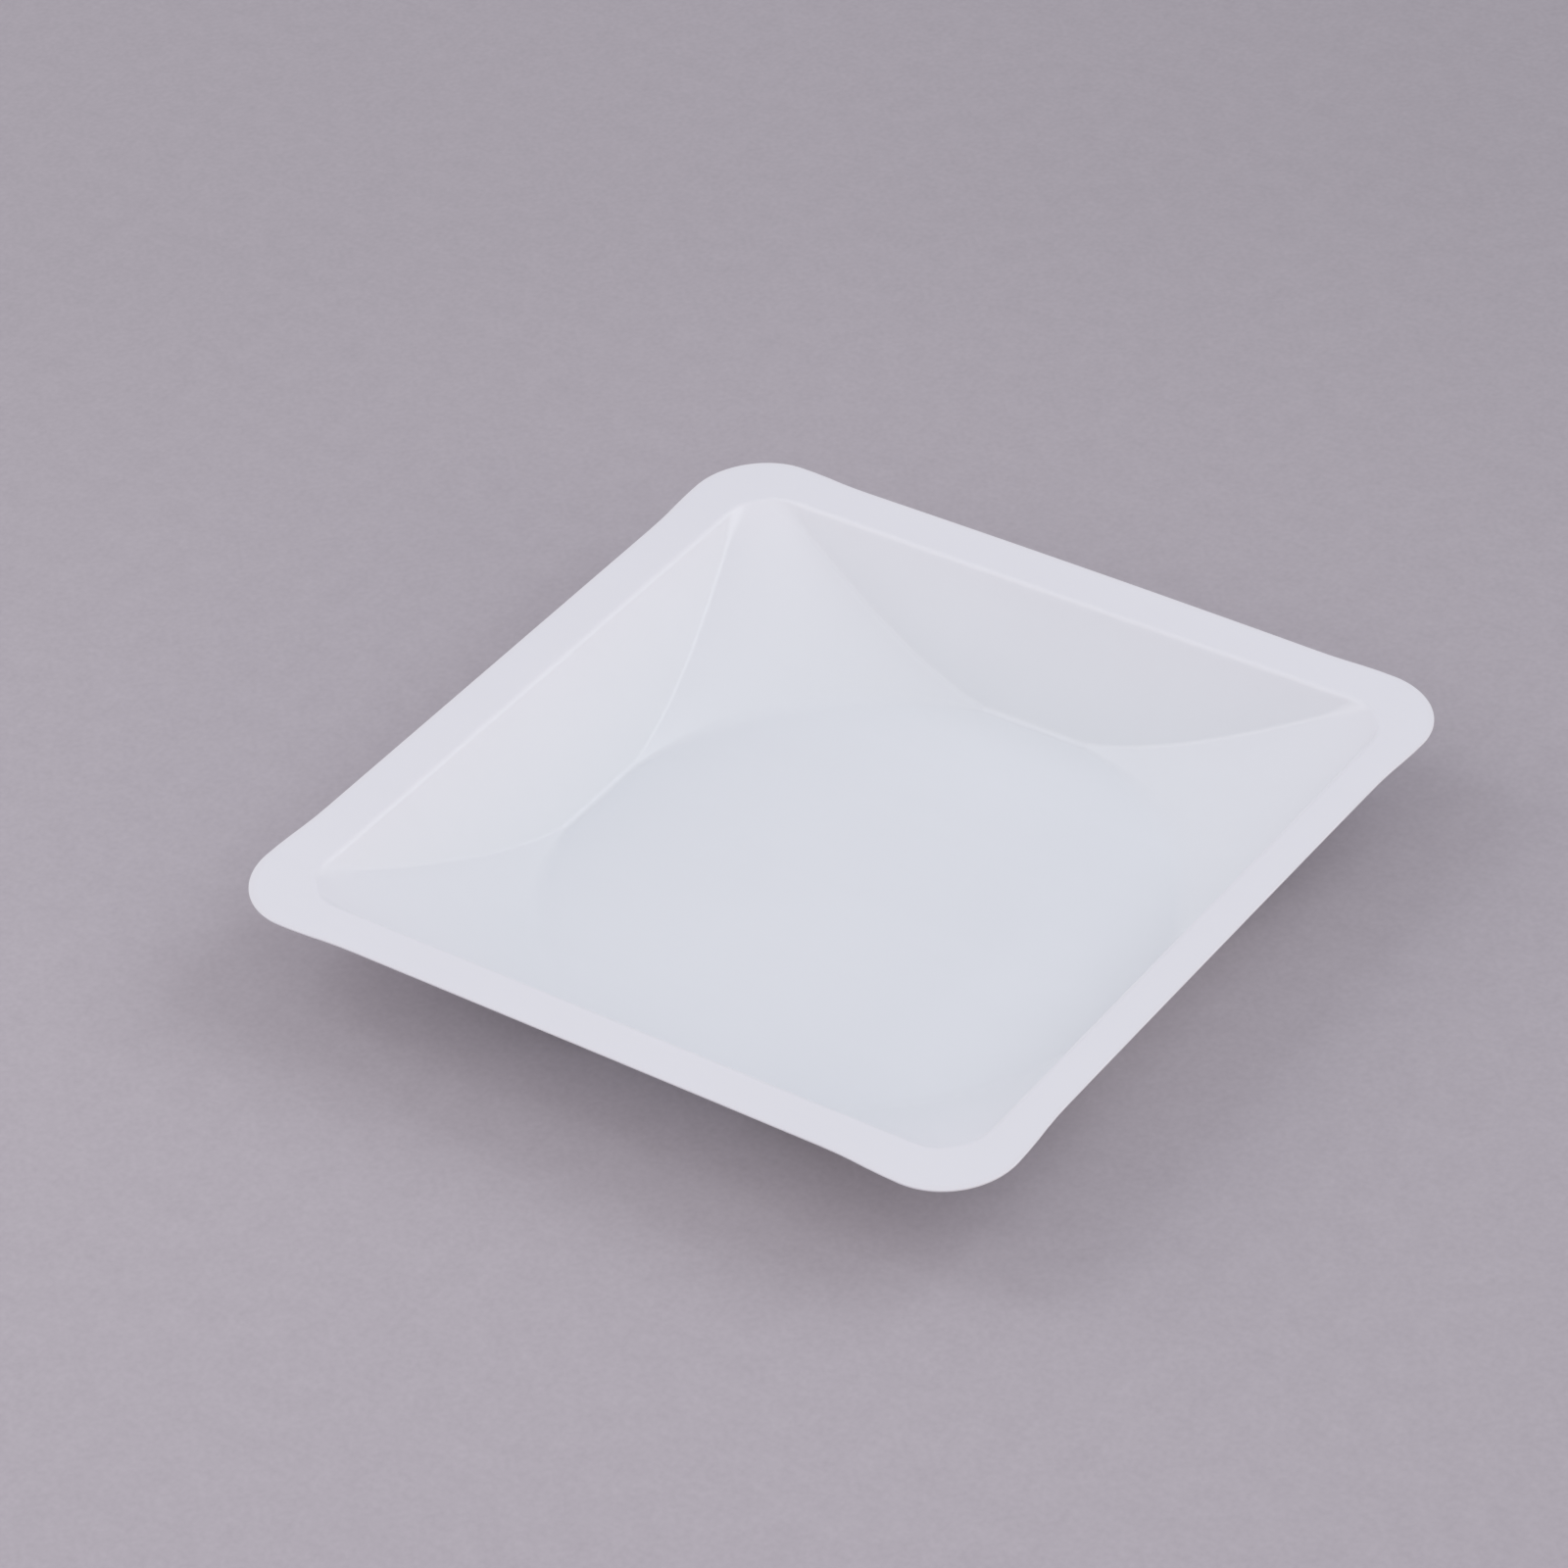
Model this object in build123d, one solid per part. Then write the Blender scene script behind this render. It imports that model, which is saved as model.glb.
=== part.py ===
from build123d import *
import math
import os

# Square weighing and mixing dish, formed in one piece from a thin plastic sheet.
#
# A well sits inside a level square flange. Four steep flat panels lean in from the
# sides, and one wide cone runs round the four corners. The floor is the cone's small
# circle, with a short straight foot cut into it by each panel. So the well is the
# volume common to the cone and to the four panels, with every line where two of its
# faces meet rounded. The sheet's outer skin is that same shape with each face moved
# out by the sheet's thickness, and its curves are concentric with the inner ones.
#
# Frame: +Z up, X and Y square to the sides, and the origin at the centre of the
# floor's underside, which is the face that the dish rests on. Millimetres.

# ---- driving dimensions ----------------------------------------------------------
side = 140.0            # overall width, across the flared ends of two opposite sides
depth = 19.3            # from the top of the flange down to the floor
sheet = 0.3             # thickness of the plastic
flange_width = 8.2      # from the crease out to the flared edge
corner_radius = 12.6    # outline of the flange's corners
waist = 0.65            # how far the middle of each side is drawn in
flare_length = 14.0     # stretch beside each corner in which the side comes back out
panel_lean = 29.8       # degrees that each side panel leans from upright
foot_flat = 14.4        # straight length where a panel meets the floor
corner_cut = 4.8        # length of side that the cone takes off each corner of the mouth
well_radius = 1.5       # inside, along the panels' feet, the floor's rim and the valleys
crease_radius = 1.3     # top of the crease between the flange and the well

# ---- sizes that follow from them -------------------------------------------------
rim_height = sheet + depth
half_side = side / 2
half_mouth = half_side - flange_width
panel_slope = math.tan(math.radians(panel_lean))
half_foot = half_mouth - panel_slope * depth
floor_radius = math.hypot(half_foot, foot_flat / 2)
mouth_radius = math.hypot(half_mouth, half_mouth - corner_cut)
cone_slope = (mouth_radius - floor_radius) / depth


def wall_reach(slope, at_floor, grow, z):
    """Distance from the axis, at height z, of a wall that stands at_floor from it at the floor
    and opens by slope for each millimetre up, once moved out square to itself by grow."""
    return at_floor + slope * (z - sheet) + grow * math.hypot(1, slope)


def panels(grow, low, high):
    """The space inside the four leaning side panels, between two heights."""
    foot = 2 * wall_reach(panel_slope, half_foot, grow, low)
    mouth = 2 * wall_reach(panel_slope, half_foot, grow, high)
    inset = (mouth - foot) / 2
    rise = high - low
    align = (Align.CENTER, Align.MIN, Align.CENTER)
    upside_down = Wedge(mouth, rise, mouth, inset, inset, mouth - inset, mouth - inset, align=align)
    return Pos(0, 0, high) * Rot(-90, 0, 0) * upside_down


def corners(grow, low, high):
    """The space inside the cone that makes the four corners, between two heights."""
    foot = wall_reach(cone_slope, floor_radius, grow, low)
    mouth = wall_reach(cone_slope, floor_radius, grow, high)
    align = (Align.CENTER, Align.CENTER, Align.MIN)
    return Pos(0, 0, low) * Cone(foot, mouth, high - low, align=align)


def well(grow, high):
    """The well with its faces moved out by grow, from its floor up to a height. Its foot lines
    and valleys are all but the lines round its open top."""
    low = sheet - grow
    space = panels(grow, low, high) & corners(grow, low, high)
    meeting_lines = space.edges().filter_by(lambda line: line.center().Z < high - grow - sheet)
    return fillet(meeting_lines, well_radius + grow)


def side_line():
    """Half of one side's outline, from its middle to its corner's end: straight, then flaring out
    through two equal arcs, then round the corner."""
    corner = half_side - corner_radius
    start = Vector(corner - flare_length, half_side - waist)
    turn = start + Vector(flare_length, waist) / 2
    straight = Line((0, half_side - waist), start)
    flare_out = TangentArc(start, turn, tangent=(1, 0))
    flare_level = TangentArc(turn, (corner, half_side), tangent=flare_out % 1)
    return [straight, flare_out, flare_level], RadiusArc((corner, half_side), (half_side, corner), corner_radius)


def flange():
    """The level flange as a whole plate, with the same outline on its four sides."""
    right_half, round_corner = side_line()
    left_half = [mirror(line, about=Plane.YZ) for line in right_half]
    quarter = [*left_half, *right_half, round_corner]
    outline = make_face([Rot(0, 0, 90 * turn) * line for turn in range(4) for line in quarter])
    return Pos(0, 0, rim_height - sheet) * extrude(outline, sheet)


def crease(body, height):
    """The closed line where the well meets the flange's face at a height."""
    face = body.faces().filter_by(Axis.Z).sort_by(lambda each: abs(each.center().Z - height))[0]
    return face.inner_wires()[0].edges()


def dish():
    """The formed sheet: the flange and the well's outer skin, less the well, with the crease
    between them rounded on both faces."""
    under = rim_height - sheet
    body = flange() + well(sheet, under + sheet / 2)
    body = fillet(crease(body, under), crease_radius - sheet)
    body -= well(0, rim_height + sheet)
    return fillet(crease(body, rim_height), crease_radius)


os.makedirs("parts", exist_ok=True)
export_step(dish(), "parts/dish.step")
print(f"floor radius {floor_radius:.2f}, half foot {half_foot:.2f}, mouth radius {mouth_radius:.2f}")
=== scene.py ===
# %% [markdown]
# # A square weighing dish, formed from one thin sheet
#
# The dish is the plain white tray that powders and casting resin are weighed and mixed in. It is made from
# one flat sheet of polystyrene, softened by heat and drawn over a form, so it has no parts to assemble: the
# flange, the four side panels, the four conical corners and the floor are all the same 0.3 mm of plastic.
# That makes the shape and the finish the whole lesson. The shape has long soft lines where flat faces meet,
# and a white satin plastic shows every one of them as a thin bright or dark line.
#
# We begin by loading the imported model. It is the fixed frame that the visible dish has to agree with.

import math

import bpy
import numpy as np
from mathutils import Matrix, Vector


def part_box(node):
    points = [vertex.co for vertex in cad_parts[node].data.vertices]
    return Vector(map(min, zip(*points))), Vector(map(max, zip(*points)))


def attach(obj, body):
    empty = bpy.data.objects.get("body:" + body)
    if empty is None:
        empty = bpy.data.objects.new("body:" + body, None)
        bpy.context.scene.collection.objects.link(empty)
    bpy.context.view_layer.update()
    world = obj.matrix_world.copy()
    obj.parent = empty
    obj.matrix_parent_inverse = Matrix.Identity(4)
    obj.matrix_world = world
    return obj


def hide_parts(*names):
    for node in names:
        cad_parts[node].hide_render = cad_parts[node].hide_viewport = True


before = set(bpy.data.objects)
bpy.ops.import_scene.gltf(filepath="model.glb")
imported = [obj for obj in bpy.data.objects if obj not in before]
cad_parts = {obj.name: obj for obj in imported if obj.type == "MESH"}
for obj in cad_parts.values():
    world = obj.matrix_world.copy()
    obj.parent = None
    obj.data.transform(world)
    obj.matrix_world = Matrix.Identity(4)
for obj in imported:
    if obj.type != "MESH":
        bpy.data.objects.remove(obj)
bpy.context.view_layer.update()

# %% [markdown]
# ## Sizes
#
# The outline and the height come from the frame's own box, so that the visible dish can't be a different
# size. The others are the design's values, in metres. They place the surfaces that enclose the well: a flat
# floor, four panels that lean out from upright, and one wide cone. The cone takes a little off each corner of
# the mouth, and it cuts the floor to a circle with a short straight foot at each panel.

# %% Sizes
mm = 0.001
lowest, highest = (np.array(corner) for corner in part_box("dish"))
rim = highest[2]
half_side = (highest[0] - lowest[0]) / 2
sheet = 0.3 * mm
depth = rim - sheet
flange_width = 8.2 * mm
foot_flat = 14.4 * mm
corner_cut = 4.8 * mm
panel_lean = math.radians(29.8)    # away from upright
panel_slope = math.tan(panel_lean)
half_mouth = half_side - flange_width
half_foot = half_mouth - panel_slope * depth
floor_radius = math.hypot(half_foot, foot_flat / 2)
mouth_radius = math.hypot(half_mouth, half_mouth - corner_cut)
cone_slope = (mouth_radius - floor_radius) / depth
print(f"rim {rim / mm:.2f} mm up, floor radius {floor_radius / mm:.2f} mm, foot {half_foot / mm:.2f} mm out")

# %% [markdown]
# ## A ball rolling in the well
#
# The faces of the well meet in lines, and on the real dish every line is softly rounded. One way to round
# them is a Bevel modifier on a sharp mesh, but where a short foot, a long valley and a curved floor line all
# meet at a shallow angle, a bevel makes slivers.
#
# A cleaner way is to think of a small ball rolling about inside the sharp well, always touching it. The
# ball can't reach into the sharp lines, and the surface that it can touch is the rounded well. So each point
# of the dish is the ball's centre plus the ball's radius along the direction in which it touches. On a face
# the centre moves and the direction stays. Along a line the centre stays and the direction swings from one
# face's direction to the next. The same pair of facts gives the other side of the sheet for nothing: it is
# one thickness further along the same direction.
#
# The ball has one radius for most of the depth. Just below the mouth it grows, because the form is more
# rounded there.

# %% The ball's radius, and how its direction swings
well_radius = 1.5 * mm
mouth_growth = 3.0 * mm
growth_start, growth_end = 0.84, 1.14    # heights of the ball's centre, as parts of the rim's height


def ball_radius(height):
    """Radius of the ball: the well's own, plus the growth in a smooth step between the two heights, three
    squares less two cubes."""
    rise = np.clip((height / rim - growth_start) / (growth_end - growth_start), 0, 1)
    return well_radius + mouth_growth * rise**2 * (3 - 2 * rise)


def swing(a, b, part):
    """The direction that is a part of the way along the great circle from direction a to direction b:
    each end is weighted by the sine of the angle left to the other end."""
    angle = np.arccos(np.clip((a * b).sum(-1, keepdims=True), -1, 1))
    part = np.asarray(part)[..., None]
    return (np.sin((1 - part) * angle) * a + np.sin(part * angle) * b) / np.sin(angle)


print(f"ball radius {ball_radius(0) / mm:.1f} mm low down, {ball_radius(rim) / mm:.1f} mm near the rim")

# %% [markdown]
# ## Columns
#
# The whole sheet is one grid. A column runs from the middle of the floor, up the wall, over the crease and
# out to the edge, and then back along the underside. A quarter of the dish has four kinds of column: across
# a panel, through the valley beside it, round the cone, and through the next valley. Each column holds a
# number from 0 to 1 for each of these, and the panel's own number runs from -1 to 1 along its length. The
# other three quarters are the same grid turned by right angles.

# %% Columns of one quarter
PANEL_COLUMNS, VALLEY_COLUMNS, CONE_COLUMNS = 40, 8, 28
COLUMN_COUNTS = [PANEL_COLUMNS, VALLEY_COLUMNS, CONE_COLUMNS, VALLEY_COLUMNS]
PANEL, VALLEY, CONE, NEXT_VALLEY = range(4)
CORNER_SHARE = 0.2    # part of the outline's corner arc that each valley's columns end on


def quarter_columns():
    """The columns of one quarter in order. Each kind's number goes up in even steps from 0 up to, but not
    including, 1, and it is 0 before that kind and 1 after it."""
    kinds = np.repeat([PANEL, VALLEY, CONE, NEXT_VALLEY], COLUMN_COUNTS)
    along = np.concatenate([np.arange(count) / count for count in COLUMN_COUNTS])
    valley = np.clip(np.where(kinds == VALLEY, along, kinds - float(VALLEY)), 0, 1)
    cone = np.clip(np.where(kinds == CONE, along, kinds - float(CONE)), 0, 1)
    next_valley = np.where(kinds == NEXT_VALLEY, along, 0.0)
    return {
        "on_panel": kinds == PANEL,
        "run": np.where(kinds == PANEL, 2 * along - 1, 1.0),
        "valley": valley,
        "cone": cone,
        "next_valley": next_valley,
        "corner": CORNER_SHARE * (valley + next_valley) + (1 - 2 * CORNER_SHARE) * cone,
    }


columns = quarter_columns()
print(f"{4 * len(columns['run'])} columns round the dish")

# %% [markdown]
# ## The ball's path
#
# At one height the ball's centre goes round the well on a path of four straight runs, where it touches a
# panel, and four arcs, where it touches the cone. In a valley it touches both, so it stands still at the
# corner of its path while the direction swings from the panel's to the cone's.

# %% Centre and direction
def wall_reach(slope, at_floor, grow, height):
    """Distance of a wall from the axis: its distance at the floor, plus its slope times the height above
    the floor, plus grow measured square to the wall."""
    return at_floor + slope * (height - sheet) + grow * math.hypot(1, slope)


def ball_centre(height, columns):
    """Where the ball's centre is at each column's own height, and the cone's direction there. A run meets
    an arc at the angle whose cosine is the panel's reach over the cone's."""
    straight = wall_reach(panel_slope, half_foot, -ball_radius(height), height)
    round_ = wall_reach(cone_slope, floor_radius, -ball_radius(height), height)
    meet = np.arccos(straight / round_)
    turn = meet + columns["cone"] * (math.pi / 2 - 2 * meet)
    on_run = np.stack([straight, columns["run"] * round_ * np.sin(meet)], axis=-1)
    on_arc = round_[..., None] * np.stack([np.cos(turn), np.sin(turn)], axis=-1)
    centre = np.where(columns["on_panel"][:, None], on_run, on_arc)
    return np.concatenate([centre, height[..., None]], axis=-1), turn


def touch_direction(turn, columns):
    """The direction from the ball's centre to the wall: the first panel's, swung to the cone's through one
    valley, and on to the next panel's through the other."""
    panel = np.array([1, 0, -panel_slope]) / math.hypot(1, panel_slope)
    next_panel = np.array([0, 1, -panel_slope]) / math.hypot(1, panel_slope)
    fall = np.full_like(turn, -cone_slope)
    cone = np.stack([np.cos(turn), np.sin(turn), fall], axis=-1) / math.hypot(1, cone_slope)
    valley = np.broadcast_to(columns["valley"], turn.shape)
    next_valley = np.broadcast_to(columns["next_valley"], turn.shape)
    first = swing(np.broadcast_to(panel, cone.shape), cone, valley)
    return swing(first, np.broadcast_to(next_panel, cone.shape), next_valley)


low_centre, _ = ball_centre(np.full(len(columns["run"]), sheet + well_radius), columns)
reach = np.linalg.norm(low_centre[:, :2], axis=-1)
print(f"on the floor the ball's centre is {reach.min() / mm:.1f} to {reach.max() / mm:.1f} mm from the axis")

# %% [markdown]
# ## Where the crease begins
#
# The crease between the wall and the flange is the other kind of line, one that stands proud, so the ball
# that rounds it is inside the plastic. On the wall the well's ball climbs until that second ball takes over.
# How high that is depends on how steep the wall is there and on the radius of the ball, which depends on the
# height again. So the height is found by working it out a few times over from its own answer.

# %% Top of the wall
crease_radius = 1.3 * mm
CREASE_TRIES = 8


def crease_start(columns):
    """For each column, the height of the well ball's centre where the crease begins: the crease ball's
    centre is both radii further along the touching direction, and one crease radius below the rim."""
    height = np.full(len(columns["run"]), rim)
    for _ in range(CREASE_TRIES):
        _, turn = ball_centre(height, columns)
        apart = ball_radius(height) + crease_radius
        height = rim - crease_radius - apart * touch_direction(turn, columns)[:, 2]
    return height


past = (crease_start(columns) - rim) / mm
print(f"the ball's centre stops {past.min():.2f} to {past.max():.2f} mm above the rim")

# %% [markdown]
# ## From the floor up to the crease
#
# The rows of the well are three stretches. On the floor the ball's centre moves straight out from the
# middle and its direction is down. At the foot the centre stays and the direction swings up to the wall's.
# On the wall the centre climbs to the height that we just found.
#
# A panel meets the floor in a tight line, but a cone runs out onto it so softly that the line almost
# disappears. So at the foot a cone has a larger ball, greatest in the cone's middle, and it is set back so
# that it touches the wall at the same place as the well's own ball.

# %% Rows of the well
FLOOR_ROWS, FOOT_ROWS, WALL_ROWS = 10, 9, 26
UP = np.array([0.0, 0.0, 1.0])
foot_growth = 6.5 * mm


def foot_ball(columns):
    """For each column, the radius of the ball in the foot, which grows over each cone as the sine of half a
    turn, and the height of the well ball's centre where that ball takes over."""
    radius = well_radius + foot_growth * np.sin(math.pi * columns["cone"])
    cone_drop = cone_slope / math.hypot(1, cone_slope)
    return radius, sheet + radius - (radius - well_radius) * cone_drop


def well_rows(columns):
    """Points of the sheet's top face from the floor to the crease, and the direction square to it there,
    towards the open side. The first row is the middle of the floor."""
    foot_radius, wall_start = foot_ball(columns)
    centre, turn = ball_centre(wall_start, columns)
    wall_way = touch_direction(turn, columns)
    foot_centre = centre - (foot_radius - well_radius)[:, None] * wall_way
    out = (np.arange(FLOOR_ROWS) / FLOOR_ROWS)[:, None, None]
    floor = foot_centre * [1, 1, 0] * out + UP * sheet
    floor_way = np.broadcast_to(UP, floor.shape)
    down = np.broadcast_to(-UP, wall_way.shape)
    foot_way = swing(down, wall_way, np.arange(FOOT_ROWS)[:, None] / FOOT_ROWS)
    foot = foot_centre + foot_radius[:, None] * foot_way
    climb = np.linspace(0, 1, WALL_ROWS)[:, None]
    height = wall_start + climb * (crease_start(columns) - wall_start)
    centre, turn = ball_centre(height, columns)
    wall_way = touch_direction(turn, columns)
    wall = centre + ball_radius(height)[..., None] * wall_way
    return np.concatenate([floor, foot, wall]), np.concatenate([floor_way, -foot_way, -wall_way])


well, _ = well_rows(columns)
print(f"{len(well)} rows from z {well[..., 2].min() / mm:.2f} to {well[..., 2].max() / mm:.2f} mm")

# %% [markdown]
# ## The outline
#
# The outline is cut with a punch. Each side is straight in the middle, 0.65 mm further in than at its ends,
# and comes back out through two equal arcs before the corner's quarter circle. The arcs bend opposite ways,
# so the edge has no kink and the eye sees a slight waist.

# %% Outline of the flange
corner_radius = 12.6 * mm
waist = 0.65 * mm
flare_length = 14.0 * mm
tiny = 0.01 * mm    # half the step over which a slope is measured


def flare(distance):
    """How far a side has come out, at a distance into its flared stretch: an arc that bends out for the
    first half of the stretch and its mirror image for the second. Their radius is the stretch squared
    plus the waist squared, over four times the waist."""
    radius = (flare_length**2 + waist**2) / (4 * waist)
    into = np.clip(distance, 0, flare_length)
    first = radius - np.sqrt(radius**2 - into**2)
    second = waist - radius + np.sqrt(radius**2 - (flare_length - into) ** 2)
    return np.where(into < flare_length / 2, first, second)


def outline(columns):
    """Where each column meets the outline, and the direction square to the outline there."""
    corner = half_side - corner_radius
    across = columns["run"] * corner
    into = np.abs(across) - (corner - flare_length)
    side = np.stack([half_side - waist + flare(into), across], axis=-1)
    rise = (flare(into + tiny) - flare(into - tiny)) / (2 * tiny)
    side_way = np.stack([np.ones_like(across), -rise * np.sign(across)], axis=-1)
    angle = columns["corner"] * math.pi / 2
    round_way = np.stack([np.cos(angle), np.sin(angle)], axis=-1)
    on_panel = columns["on_panel"][:, None]
    way = np.where(on_panel, side_way / np.linalg.norm(side_way, axis=-1, keepdims=True), round_way)
    return np.where(on_panel, side, corner + corner_radius * round_way), way


line, _ = outline(columns)
out_by = line[columns["on_panel"], 0] / mm
print(f"a side is {out_by.min():.2f} mm from the axis at its waist and {out_by.max():.2f} mm at its ends")

# %% [markdown]
# ## Over the crease and out to the cut edge
#
# Over the crease the direction swings from the wall's to straight up, and from there the flange runs level to
# the outline. The last few rows carry the section of the cut edge, which the punch leaves square with the
# corners just off. A square with soft corners is a superellipse, in which x to the fourth plus z to the
# fourth is one.
#
# The form that the sheet was drawn over fixes the well exactly, but the punch never sits quite true, so a
# real dish has a flange that is a little wider on one side than on the other. `trim_shift` and `trim_scale`
# are that small error. It is the same for all four quarters, so it is turned back into each quarter's axes.

# %% Rows of the crease, the flange and the edge
CREASE_ROWS, FLANGE_ROWS, EDGE_ROWS = 12, 8, 9
trim_shift = np.array([-1.05, 0.17]) * mm
trim_scale = np.array([1.0, 1.0025])


def turn_by(quarter):
    """The matrix that turns the dish by a number of right angles about its upright axis."""
    cosine, sine = [(1, 0), (0, 1), (-1, 0), (0, -1)][quarter % 4]
    return np.array([[cosine, -sine, 0], [sine, cosine, 0], [0, 0, 1]], dtype=float)


def crease_rows(columns):
    """Points and directions over the crease, from just past its start to the flange."""
    start = crease_start(columns)
    centre, turn = ball_centre(start, columns)
    wall_way = touch_direction(turn, columns)
    ridge = centre + (ball_radius(start) + crease_radius)[:, None] * wall_way
    part = (np.arange(1, CREASE_ROWS + 1) / CREASE_ROWS)[:, None]
    way = swing(-wall_way, np.broadcast_to(UP, wall_way.shape), part)
    return ridge + crease_radius * way, way


def edge_rows(edge_top, line_way):
    """Points and directions round the cut edge, from just past its top to its bottom. The section is the
    superellipse, whose points have the square roots of a cosine and a sine, and whose direction has the
    cubes of those."""
    angle = np.linspace(math.pi / 2, -math.pi / 2, EDGE_ROWS)[1:, None, None]
    level = np.concatenate([line_way, np.zeros((len(line_way), 1))], axis=-1)
    outward = np.abs(np.cos(angle)) ** 0.5
    upward = np.sign(np.sin(angle)) * np.abs(np.sin(angle)) ** 0.5
    edge = edge_top - UP * sheet / 2 + sheet / 2 * (outward * level + upward * UP)
    way = outward**3 * level + upward**3 * UP
    return edge, way / np.linalg.norm(way, axis=-1, keepdims=True)


def outer_rows(columns, quarter):
    """Points and directions from just past the crease's start to the bottom of the cut edge."""
    crease, crease_way = crease_rows(columns)
    line, line_way = outline(columns)
    back = turn_by(-quarter)[:2, :2]
    inset = line * np.abs(back @ trim_scale) + back @ trim_shift - line_way * sheet / 2
    edge_top = np.concatenate([inset, np.full((len(inset), 1), rim)], axis=-1)
    out = (np.arange(1, FLANGE_ROWS + 1) / FLANGE_ROWS)[:, None, None]
    flange = crease[-1] + (edge_top - crease[-1]) * out
    flange_way = np.broadcast_to(UP, flange.shape)
    edge, edge_way = edge_rows(edge_top, line_way)
    return np.concatenate([crease, flange, edge]), np.concatenate([crease_way, flange_way, edge_way])


outer, _ = outer_rows(columns, 0)
print(f"{len(outer)} rows from the crease to the cut edge, {outer[..., 0].max() / mm:.2f} mm out at +x")

# %% [markdown]
# ## The underside
#
# The underside needs no new shape. Every point of the top face is moved by one thickness against its own
# direction, and the rows are added in reverse order after the cut edge, so that the grid comes back to the
# middle of the floor and closes.
#
# That needs directions that are exactly square to the surface. Where the ball's radius changes, the surface
# leans a little away from the touching direction, so from the foot to the crease it is taken from the points
# themselves.

# %% All rows of the sheet
SMALLEST = 0.001 * mm**2    # neighbours that span less than this area count as one point


def true_ways(face, ways):
    """The directions made exact from the foot to the crease: square to the line between the two neighbours
    round the ring and to the line between the two up and down the wall. Where those are one point, the
    touching direction stays."""
    around = np.roll(face, -1, axis=1) - np.roll(face, 1, axis=1)
    up = face[2:] - face[:-2]
    across = np.cross(up, around[1:-1])
    length = np.linalg.norm(across, axis=-1, keepdims=True)
    unit = np.where(length > SMALLEST, across / np.maximum(length, SMALLEST), ways[1:-1])
    first, last = FLOOR_ROWS + 1, FLOOR_ROWS + FOOT_ROWS + WALL_ROWS + CREASE_ROWS - 1
    exact = ways.copy()
    exact[first:last] = unit[first - 1 : last - 1]
    return exact


def sheet_grid(columns):
    """All rows of all four quarters: points and directions, each rows by columns by 3."""
    top, top_way = well_rows(columns)
    face, face_way = [], []
    for quarter in range(4):
        outer, outer_way = outer_rows(columns, quarter)
        turned = turn_by(quarter).T
        face.append(np.concatenate([top, outer]) @ turned)
        face_way.append(np.concatenate([top_way, outer_way]) @ turned)
    face = np.concatenate(face, axis=1)
    face_way = true_ways(face, np.concatenate(face_way, axis=1))
    flat = len(face) - EDGE_ROWS + 1
    under = (face[:flat] - sheet * face_way[:flat])[-2::-1]
    return np.concatenate([face, under]), np.concatenate([face_way, -face_way[:flat][-2::-1]])


level_points, level_ways = sheet_grid(columns)
print("rows, columns:", level_points.shape[:2])

# %% [markdown]
# ## A sheet this thin is never quite flat
#
# The flange isn't held by anything once the dish leaves the form. Here the middle of one side stands a
# little proud and two corners droop, each by about half a millimetre. It is hard to measure with a rule, and
# still the eye reads it at once in the way the edge runs. Both are added as one smooth height over the plan,
# so the top and the underside move together and the sheet keeps its thickness.
# The directions have to lean with the surface: each loses the height's slope times its own upright part.

# %% Warp
flange_bow = 0.52 * mm
corner_tilt = 0.21 * mm
corner_droop = 0.19 * mm
SQUARENESS = 8    # power of the norm that measures how far out a point is, on nearly square rings


def warp(x, y):
    """Height of the sheet above true at x, y. The bow is greatest in the middle of the +y side: it falls as
    one minus the square of x over the half side, and grows from the crease as the square of the distance.
    The droop is at the two +x corners, and hardly any is left at -x: one part grows as x times y squared,
    the other as x squared times y squared, and both from the crease in the same way as the bow."""
    across, along = x / half_side, y / half_side
    beyond = np.clip((y - half_mouth) / flange_width, 0, None)
    square_reach = (x**SQUARENESS + y**SQUARENESS) ** (1 / SQUARENESS)
    beyond_all = np.clip((square_reach - half_mouth) / flange_width, 0, None)
    bow = flange_bow * (1 - across**2) * beyond**2
    return bow - (corner_tilt * across + corner_droop * across**2) * along**2 * beyond_all**2


def warped(points, ways):
    """Points moved up by the warp, and their directions leant by its slope."""
    x, y = points[..., 0], points[..., 1]
    slope_x = (warp(x + tiny, y) - warp(x - tiny, y)) / (2 * tiny)
    slope_y = (warp(x, y + tiny) - warp(x, y - tiny)) / (2 * tiny)
    leant = ways - ways[..., 2:] * np.stack([slope_x, slope_y, np.zeros_like(x)], axis=-1)
    moved = points + warp(x, y)[..., None] * UP
    return moved, leant / np.linalg.norm(leant, axis=-1, keepdims=True)


points, ways = warped(level_points, level_ways)
lift = points[..., 2] - level_points[..., 2]
print(f"the warp lifts the flange by {lift.min() / mm:.2f} to {lift.max() / mm:.2f} mm")
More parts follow.
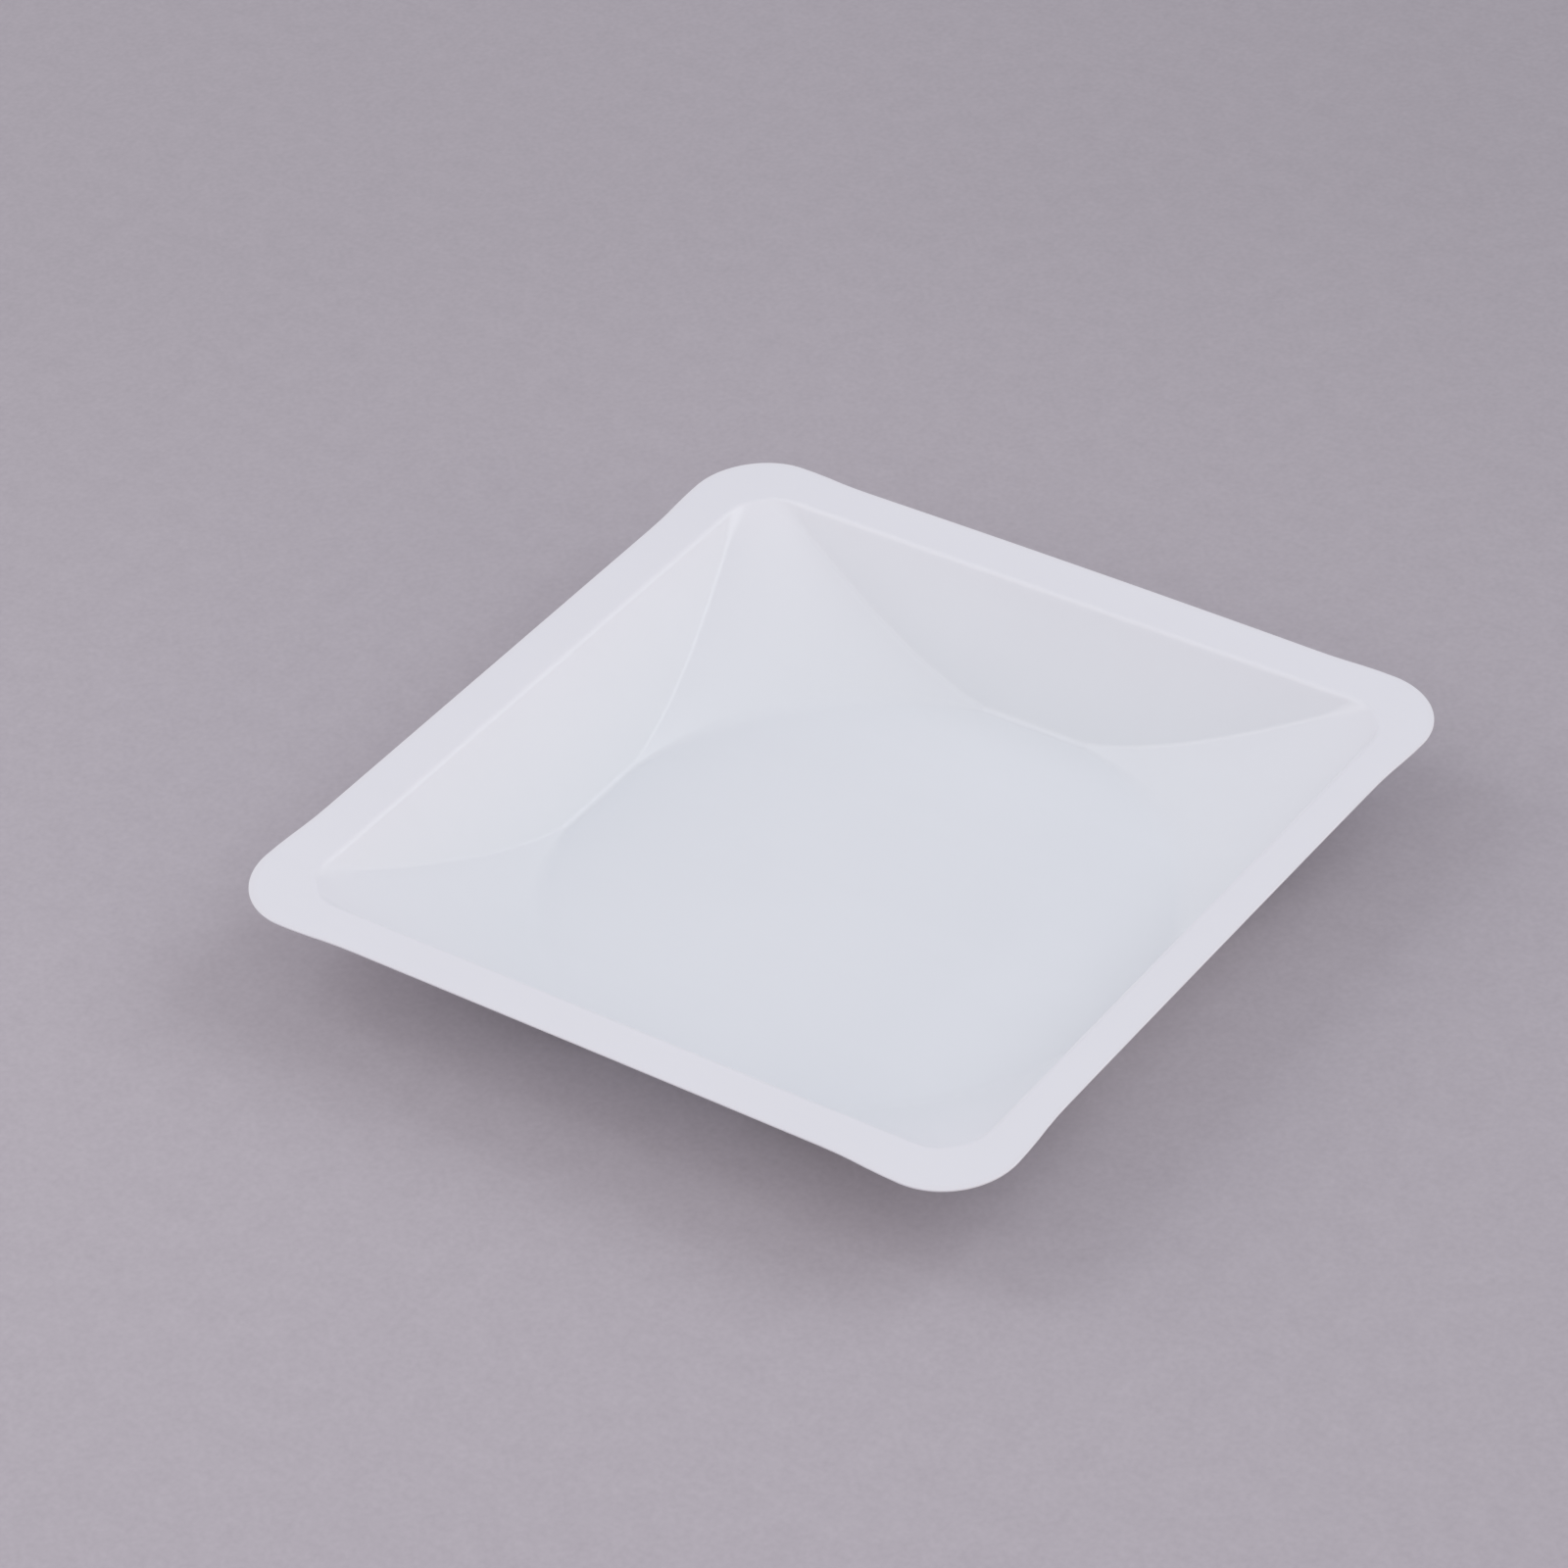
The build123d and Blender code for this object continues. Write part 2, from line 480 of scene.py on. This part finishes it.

# %% [markdown]
# ## What each row knows about itself
#
# Three things follow the sheet and not the space round it, so they are written on the mesh as attributes,
# one number for each point. The first follows how much the sheet was stretched: nothing on the flange,
# where the clamp held it, and more the deeper it was drawn. It carries a painted cool cast, a colour that
# stands in for the light that the thinner sheet lets through. `cut` is 1 on the punched edge, where the
# plastic is sheared and has no skin. The third is 1 along the crease and carries a painted highlight, a
# little whiter, and with it the crease is made a little duller.

# %% Attributes by row
def row_values():
    """Painted cool cast, cut and painted crease highlight for each row, from the floor's middle and back to
    it.
    The cool cast falls evenly up the wall. The highlight rises and falls over the crease as a sine squared."""
    well = FLOOR_ROWS + FOOT_ROWS + WALL_ROWS
    held = np.zeros(CREASE_ROWS + FLANGE_ROWS)
    # The painted cool cast's mask: 1 over the floor and the foot, falling evenly up the wall, 0 beyond.
    painted_cool_cast = np.concatenate([np.ones(FLOOR_ROWS + FOOT_ROWS), np.linspace(1, 0, WALL_ROWS), held])
    around = np.concatenate([painted_cool_cast, np.zeros(EDGE_ROWS - 1), painted_cool_cast[-2::-1]])
    cut, painted_crease_highlight = np.zeros(len(around)), np.zeros(len(around))
    cut[len(painted_cool_cast) - 1 : len(painted_cool_cast) + EDGE_ROWS - 1] = 1
    # The painted crease highlight's mask: a sine squared over the crease rows of the top face.
    painted_crease_highlight[well - 1 : well + CREASE_ROWS] = np.sin(np.linspace(0, math.pi, CREASE_ROWS + 1)) ** 2
    return {"painted_cool_cast": around, "cut": cut, "painted_crease_highlight": painted_crease_highlight}


by_row = row_values()
print("rows with each value:", {name: int((values > 0).sum()) for name, values in by_row.items()})

# %% [markdown]
# ## One closed skin
#
# A grid is easy to turn into faces: each face joins a point to its neighbours in the next row and the next
# column. But in the valleys several columns run into one point at the floor, and all of them meet in the
# middle, at a pole. So equal points are welded, a face that keeps three corners becomes a triangle, and one
# that keeps fewer is dropped. What is left is one closed skin with no seam.

# %% Weld the grid
WELD = 0.0001 * mm    # points that round to the same multiple of this become one


def weld(points, ways):
    """The grid as a list of points, their directions, and faces with their corners anticlockwise from
    outside. The last result says which point of the grid each kept point was."""
    rows, around, _ = points.shape
    keys = np.round(points.reshape(-1, 3) / WELD).astype(np.int64)
    _, first, same = np.unique(keys, axis=0, return_index=True, return_inverse=True)
    same = same.reshape(rows, around)
    beside = np.roll(same, -1, axis=1)
    quads = np.stack([same[:-1], same[1:], beside[1:], beside[:-1]], axis=-1).reshape(-1, 4)
    gone = quads == np.roll(quads, 1, axis=1)
    whole = quads[~gone.any(axis=1)]
    one_gone = gone.sum(axis=1) == 1
    thirds = quads[one_gone][~gone[one_gone]].reshape(-1, 3)
    return points.reshape(-1, 3)[first], ways.reshape(-1, 3)[first], whole.tolist() + thirds.tolist(), first


places, place_ways, faces, first = weld(points, ways)
print(f"{points.shape[0] * points.shape[1]} grid points welded to {len(places)}, with {len(faces)} faces")

# %% [markdown]
# ## The dish as a mesh
#
# Blender would average the faces round each point to shade it smoothly. We already know the exact directions,
# so we give them to the mesh as custom normals, and the flat floor and the thin edge both shade correctly
# with no more points.

# %% Make the dish
def make_piece(name, places, faces, ways):
    """A mesh object at the origin with smooth faces and its exact directions as normals."""
    mesh = bpy.data.meshes.new(name)
    mesh.from_pydata(places.tolist(), [], faces)
    mesh.validate()
    mesh.polygons.foreach_set("use_smooth", np.ones(len(mesh.polygons), dtype=bool))
    mesh.normals_split_custom_set_from_vertices(ways.tolist())
    piece = bpy.data.objects.new(name, mesh)
    bpy.context.scene.collection.objects.link(piece)
    return piece


def write_value(piece, name, values):
    """Keep one number for each point of the piece under a name."""
    made = piece.data.attributes.new(name, "FLOAT", "POINT")
    made.data.foreach_set("value", values.astype(np.float32))


dish = make_piece("formed_dish", places, faces, place_ways)
for name, values in by_row.items():
    write_value(dish, name, np.repeat(values, points.shape[1])[first])
print(f"{len(dish.data.vertices)} points, from {places.min(0) / mm} to {places.max(0) / mm} mm")

# %% [markdown]
# ## A test by volume
#
# One number tests the whole shape. The sheet's area is about 230 square cm, so 0.3 mm of it has to come to
# about 6900 cubic mm, and the volume is positive only if the faces point outwards.

# %% Volume
def volume(piece):
    """Volume inside a closed mesh: a sixth of the sum, over its triangles, of the product a . (b x c)."""
    mesh = piece.data
    mesh.calc_loop_triangles()
    corners = np.empty(3 * len(mesh.loop_triangles), dtype=np.int32)
    mesh.loop_triangles.foreach_get("vertices", corners)
    at = np.empty(3 * len(mesh.vertices), dtype=np.float32)
    mesh.vertices.foreach_get("co", at)
    a, b, c = at.astype(float).reshape(-1, 3)[corners.reshape(-1, 3)].transpose(1, 0, 2)
    return (a * np.cross(b, c)).sum() / 6


print(f"volume {volume(dish) / mm**3:.0f} cubic mm in {len(dish.data.loop_triangles)} triangles")

# %% [markdown]
# ## Sums in a material
#
# A material in Blender is a graph of nodes. Written out one node at a time it hides the idea, so the class
# below lets the script write the idea: a socket can be added to and multiplied like a number, and each sum
# adds its Math node. Every other kind of node is made by the one method `node`.

# %% Sockets that can be added and multiplied
class Socket:
    """One output of a node. A sum, difference or product with a number or another socket adds a Math node."""

    def __init__(self, tree, output=None):
        self.tree = tree
        self.output = output

    def node(self, kind, settings, inputs, output=0):
        """Add a node of any kind: its settings first, then the value or the link of each named input."""
        made = self.tree.nodes.new(kind)
        for name, value in settings.items():
            setattr(made, name, value)
        for name, value in inputs.items():
            if isinstance(value, Socket):
                self.tree.links.new(value.output, made.inputs[name])
            else:
                made.inputs[name].default_value = value
        return Socket(self.tree, made.outputs[output])

    def math(self, operation, first, second):
        return self.node("ShaderNodeMath", {"operation": operation}, {0: first, 1: second})

    def __add__(self, other):
        return self.math("ADD", self, other)

    def __sub__(self, other):
        return self.math("SUBTRACT", self, other)

    def __rsub__(self, other):
        return self.math("SUBTRACT", other, self)

    def __mul__(self, other):
        return self.math("MULTIPLY", self, other)

    __radd__ = __add__
    __rmul__ = __mul__

    def mix(self, start, end):
        """The colour that is this far of the way from one colour to another."""
        return self.node("ShaderNodeMix", {"data_type": "RGBA"}, {0: self, 6: start, 7: end}, 2)

    def dim(self, shade):
        """This colour times a shade."""
        return self.node("ShaderNodeVectorMath", {"operation": "SCALE"}, {0: self, "Scale": shade})

    def feed(self, shader, name):
        """Link this socket to an input of the shader."""
        self.tree.links.new(self.output, shader.inputs[name])


def new_material(name):
    """A material with one shader, and a socket with the object's own coordinates."""
    made = bpy.data.materials.new(name)
    made.use_nodes = True
    place = Socket(made.node_tree).node("ShaderNodeTexCoord", {}, {}, "Object")
    return made, made.node_tree.nodes["Principled BSDF"], place


def noise(where, scale, detail=2.0):
    """Soft noise from 0 to 1 whose patches are about 1 / scale metres across."""
    return where.node("ShaderNodeTexNoise", {}, {"Vector": where, "Scale": scale, "Detail": detail}, "Fac")


# %% [markdown]
# ## White polystyrene
#
# The plastic is white right through and has a satin skin. Three things keep it from looking like paint, and
# the first two are in its colour. The sheet's white is uneven by about one part in a hundred, in soft clouds
# where it is a little thicker and in faint streaks along the way that the sheet was rolled. The well, which
# was drawn thinner, is given a cooler white, a painted cool cast that stands in for the light that the thin
# sheet lets through. The crease is given a painted highlight, a touch whiter, and the sheared edge is a touch
# greyer.

# %% Colour of the plastic
WHITE = (0.868, 0.878, 0.901, 1)
# A cooler white for the well, a painted cool cast that stands in for the light that the thin sheet lets
# through.
COOL_CAST_WHITE = (0.857, 0.885, 0.903, 1)
# A whiter white for the crease, a painted highlight.
HIGHLIGHT_WHITE = (0.96, 0.96, 0.97, 1)
CUT_WHITE = (0.85, 0.85, 0.87, 1)
HIGHLIGHT_SHARE = 0.06    # how far the crease goes towards the painted highlight's white
CLOUDS_PER_METRE = 45.0
STREAK_SCALE = (6.0, 220.0, 6.0)    # long in x, the way the sheet was rolled, and narrow in y
CLOUD_SHARE, STREAK_SHARE = 0.02, 0.01


def point_value(place, name):
    """The number that the mesh keeps under a name for each of its points."""
    return place.node("ShaderNodeAttribute", {"attribute_name": name}, {}, "Fac")


plastic, skin, place = new_material("white_plastic")
# Masks for the painted cool cast, the cut edge and the painted crease highlight.
painted_cool_cast, cut, painted_crease_highlight = (point_value(place, name) for name in ("painted_cool_cast", "cut", "painted_crease_highlight"))
clouds = noise(place, CLOUDS_PER_METRE)
rolled = place.node("ShaderNodeMapping", {}, {"Vector": place, "Scale": STREAK_SCALE})
streaks = noise(rolled, 1.0, 3.0)
# The skin's white, with the painted cool cast over the well and the painted highlight along the crease.
skin_with_painted_light = (HIGHLIGHT_SHARE * painted_crease_highlight).mix(painted_cool_cast.mix(WHITE, COOL_CAST_WHITE), HIGHLIGHT_WHITE)
white = cut.mix(skin_with_painted_light, CUT_WHITE)
white.dim(0.985 + CLOUD_SHARE * clouds + STREAK_SHARE * streaks).feed(skin, "Base Color")
print("colour nodes:", len(plastic.node_tree.nodes))

# %% [markdown]
# The third thing is the skin itself. It has a very fine grain, which it took from the rollers and the form,
# so a highlight is broad and soft. The grain goes into the roughness, and as a very shallow relief into the
# normal. The cut edge has no skin, so it is dull. Polystyrene bends light a little more than most plastics,
# and that is a constant, so it is set on the shader's own socket.

# %% Gloss and grain of the plastic
GRAIN_PER_METRE = 2600.0
SATIN, UNEVEN = 0.29, 0.04    # the skin's roughness, and the most that the clouds and the grain each add
# The crease, where the highlight is painted, is also made a little duller.
CUT_DULLER, CREASE_DULLER = 0.3, 0.05
GRAIN_DEPTH = 0.012 * mm
GRAIN_STRENGTH = 0.25
POLYSTYRENE_IOR = 1.59

grain = noise(place, GRAIN_PER_METRE, 3.0)
roughness = SATIN + UNEVEN * clouds + UNEVEN * grain + CUT_DULLER * cut + CREASE_DULLER * painted_crease_highlight
roughness.feed(skin, "Roughness")
relief = 0.7 * grain + 0.3 * streaks
bump = {"Strength": GRAIN_STRENGTH, "Distance": GRAIN_DEPTH, "Height": relief}
place.node("ShaderNodeBump", {}, bump, "Normal").feed(skin, "Normal")
skin.inputs["IOR"].default_value = POLYSTYRENE_IOR
dish.data.materials.append(plastic)
print("all nodes:", len(plastic.node_tree.nodes))

# %% [markdown]
# ## Which part it stands for
#
# The visible dish rides on the model's only body and stands for its only node. That node stays in the
# simulation for its shape and weight, and is hidden here.

# %% Join the frame
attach(dish, "root")
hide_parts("dish")
print(dish.name, "rides on root and replaces dish")

# %% [markdown]
# ## Paper to stand on
#
# The dish stands on pale mauve-grey paper. Paper is dull, so it is nearly all colour: the shader's gloss is
# turned down and only the colour has a faint mottle, in patches of one to five millimetres. It is a shade
# darker towards the back and the right, as a large sheet is when it is lit mostly from one side.

# %% Floor
PAPER_DARK, PAPER_LIGHT = (0.446, 0.413, 0.445, 1), (0.592, 0.555, 0.587, 1)
PAPER_HALF = 3.0
BELOW = -0.02 * mm    # a hair under the dish, so that no two faces share a plane

floor = bpy.data.objects.new("floor", bpy.data.meshes.new("floor"))
corners = [(x * PAPER_HALF, y * PAPER_HALF, BELOW) for x, y in ((-1, -1), (1, -1), (1, 1), (-1, 1))]
floor.data.from_pydata(corners, [], [(0, 1, 2, 3)])
bpy.context.scene.collection.objects.link(floor)


def darker(where, way, reach, loss):
    """Part of the light that is lost along a level direction: it grows evenly from nothing at the dish's
    middle to the whole loss at the reach, and stays there."""
    ahead = where.node("ShaderNodeVectorMath", {"operation": "DOT_PRODUCT"}, {0: where, 1: way}, "Value")
    return where.node("ShaderNodeMapRange", {}, {"Value": ahead, "From Max": reach, "To Max": loss})


paper, matt, place = new_material("mauve_paper")
coarse = noise(place, 200.0, 2.0)
fine = noise(place, 900.0, 3.0)
mottle = 0.35 * coarse + 0.65 * fine
to_back = darker(place, (-0.6, 0.8, 0), 0.2, 0.11)
to_right = darker(place, (0.8, 0.6, 0), 0.12, 0.05)
mottle.mix(PAPER_DARK, PAPER_LIGHT).dim(1 - to_back - to_right).feed(matt, "Base Color")
matt.inputs["Roughness"].default_value = 0.9
matt.inputs["Specular IOR Level"].default_value = 0.2
floor.data.materials.append(paper)
print(f"paper {2 * PAPER_HALF:.0f} m across")

# %% [markdown]
# ## Light
#
# White on pale grey is a hard thing to light. With one lamp the far walls go dark and the rim burns out.
# So the whole room is bright, and six large round softboxes only lean on it: two cool ones high on the right
# and on the left, which shape the walls, a wide one in front and a near one on the left, which fill, and two
# low ones at the sides, which keep the shadow open. The low one on the right is a little warm. All are plain
# area lights aimed at the dish, and they share three colours, so that a change of mood is one line.

# %% Room and softboxes
COOL, NEUTRAL, WARM = (0.90, 0.95, 1.0), (1.0, 0.96, 0.93), (1.0, 0.90, 0.79)
ROOM = (0.49, 0.48, 0.53, 1)


def aim(item, place, target, turn=0.0):
    """Stand an object at place with its own -Z axis towards target, then turned about that axis."""
    way = (Vector(target) - Vector(place)).to_track_quat("-Z", "Y").to_matrix().to_4x4()
    item.matrix_world = Matrix.Translation(place) @ way @ Matrix.Rotation(turn, 4, "Z")


def softbox(name, around, height, distance, width, watts, colour):
    """A round light of one width, aimed at the dish: around degrees anticlockwise from the front, seen from
    above, and height degrees above the floor."""
    lamp = bpy.data.objects.new(name, bpy.data.lights.new(name, "AREA"))
    lamp.data.shape = "DISK"
    lamp.data.size = width
    lamp.data.energy = watts
    lamp.data.color = colour
    bpy.context.scene.collection.objects.link(lamp)
    turn, rise = math.radians(around), math.radians(height)
    place = Vector((math.sin(turn) * math.cos(rise), -math.cos(turn) * math.cos(rise), math.sin(rise)))
    aim(lamp, distance * place, (0, 0, 0))


room = bpy.data.worlds.new("room")
room.use_nodes = True
room.node_tree.nodes["Background"].inputs["Color"].default_value = ROOM
bpy.context.scene.world = room
softbox("right_high", 130, 45, 1.4, 1.0, 4.0, COOL)
softbox("left_high", 290, 60, 1.4, 0.45, 1.1, COOL)
softbox("front_wide", 30, 45, 1.6, 1.6, 2.6, NEUTRAL)
softbox("left_near", 300, 30, 0.8, 0.7, 1.2, NEUTRAL)
softbox("left_low", 270, 12, 1.4, 0.7, 1.3, NEUTRAL)
softbox("right_low", 90, 12, 1.4, 0.7, 3.1, WARM)
bpy.context.scene.view_settings.view_transform = "Standard"
print("softboxes:", sorted(lamp.name for lamp in bpy.data.lights))

# %% [markdown]
# ## Camera
#
# The dish is seen from about a metre away with a long lens, from above one corner, so that its far sides
# hardly shrink. The camera is held a few degrees off level, and it looks about a centimetre beside the middle
# of the rim, which leaves a little more room on the left of the dish.

# %% Camera
LENS, SENSOR = 140.9, 36    # in millimetres, as on a real camera
CAMERA_PLACE = (0.4554, -0.6026, 0.6058)
CAMERA_AIM = (-0.01145, -0.00186, rim)
CAMERA_TURN = math.radians(-4.62)

camera = bpy.data.objects.new("camera", bpy.data.cameras.new("camera"))
bpy.context.scene.collection.objects.link(camera)
bpy.context.scene.camera = camera
camera.data.lens = LENS
camera.data.sensor_width = SENSOR
aim(camera, CAMERA_PLACE, CAMERA_AIM, CAMERA_TURN)
print(f"camera {math.dist(CAMERA_PLACE, CAMERA_AIM):.2f} m from where it looks")
